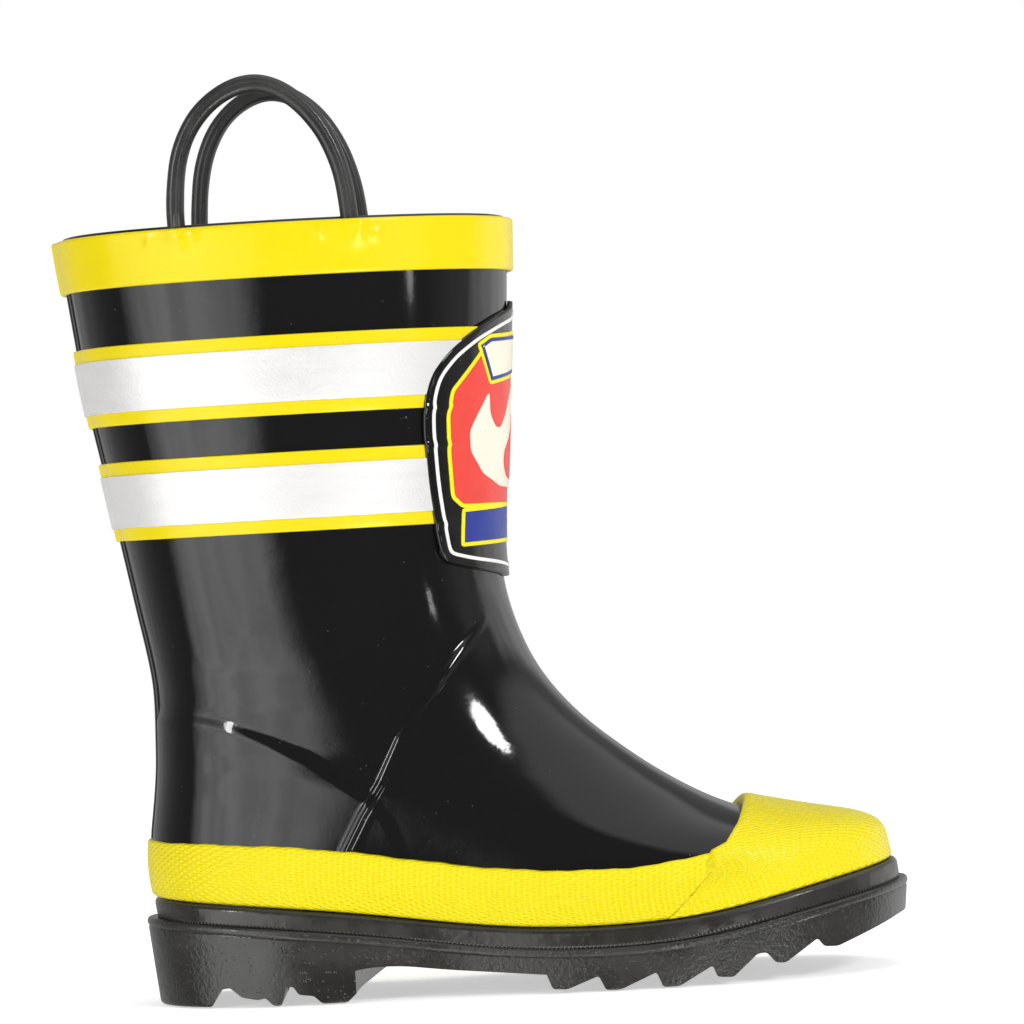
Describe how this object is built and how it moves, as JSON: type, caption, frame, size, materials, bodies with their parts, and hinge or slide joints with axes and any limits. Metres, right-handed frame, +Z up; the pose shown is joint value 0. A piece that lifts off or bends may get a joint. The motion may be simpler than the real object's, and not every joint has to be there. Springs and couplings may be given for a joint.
{
  "type": "child's rubber fire boot",
  "caption": "Child's mid-calf rubber rain boot in fire-service style, for the right foot, with yellow trim, reflective bands, a shield badge and pull loops that fold.",
  "frame": {"origin": "on the ground under the middle of the boot's bounding box, handles upright", "axes": "+X towards the toe, +Y towards the inner side of the foot, +Z up"},
  "size_m": [0.2214, 0.0884, 0.2447],
  "materials": {
    "outsole": "satin moulded black rubber",
    "heel_filler": "matt foamed rubber",
    "sponge_filler": "matt foamed rubber",
    "insole_board": "matt pressed fibre board",
    "footbed": "matt knitted cloth on foam",
    "lining": "matt knitted cotton",
    "upper": "glossy lacquered black rubber",
    "inner_plies": "matt rubbered cloth",
    "welt_strip": "semi-gloss black rubber",
    "yellow_knurled": "semi-gloss yellow rubber with a fine knurl",
    "yellow_smooth": "semi-gloss smooth yellow rubber",
    "back_strip": "glossy lacquered black rubber",
    "reflective_tape": "satin silver retro-reflective film",
    "badge_black": "glossy black rubber",
    "badge_white": "semi-gloss white rubber",
    "badge_cream": "semi-gloss cream rubber",
    "badge_red": "semi-gloss red rubber",
    "badge_yellow": "semi-gloss yellow rubber",
    "badge_blue": "semi-gloss blue rubber",
    "handle": "satin black rubber"
  },
  "bodies": {
    "boot": {"outsole": "outsole", "heel_filler": "heel_filler", "sponge_filler": "sponge_filler", "insole_board": "insole_board", "footbed": "footbed", "lining": "lining", "upper": "upper", "heel_counter": "inner_plies", "vamp_ply": "inner_plies", "welt_strip": "welt_strip", "foxing_band": "yellow_knurled", "toe_cap": "yellow_knurled", "top_cuff": "yellow_smooth", "upper_band": "yellow_smooth", "lower_band": "yellow_smooth", "back_strip": "back_strip", "upper_reflective_tape": "reflective_tape", "lower_reflective_tape": "reflective_tape", "badge_base": "badge_black", "badge_outline": "badge_white", "badge_keyline": "badge_yellow", "badge_flame": "badge_cream", "badge_plaque": "badge_cream", "badge_field": "badge_red", "badge_bar": "badge_blue", "outer_handle_back_end": "handle", "outer_handle_front_end": "handle", "inner_handle_back_end": "handle", "inner_handle_front_end": "handle"},
    "outer_handle": {"outer_handle": "handle"},
    "inner_handle": {"inner_handle": "handle"}
  },
  "joints": [
    {"name": "outer_handle_fold", "type": "hinge", "parent": "boot", "child": "outer_handle", "pos_m": [-0.05096, -0.0395, 0.2117], "axis": [1, 0, 0], "range_deg": [-80, 80], "stiffness_Nm_per_rad": 0.012},
    {"name": "inner_handle_fold", "type": "hinge", "parent": "boot", "child": "inner_handle", "pos_m": [-0.05096, 0.0395, 0.2117], "axis": [1, 0, 0], "range_deg": [-80, 80], "stiffness_Nm_per_rad": 0.012}
  ]
}
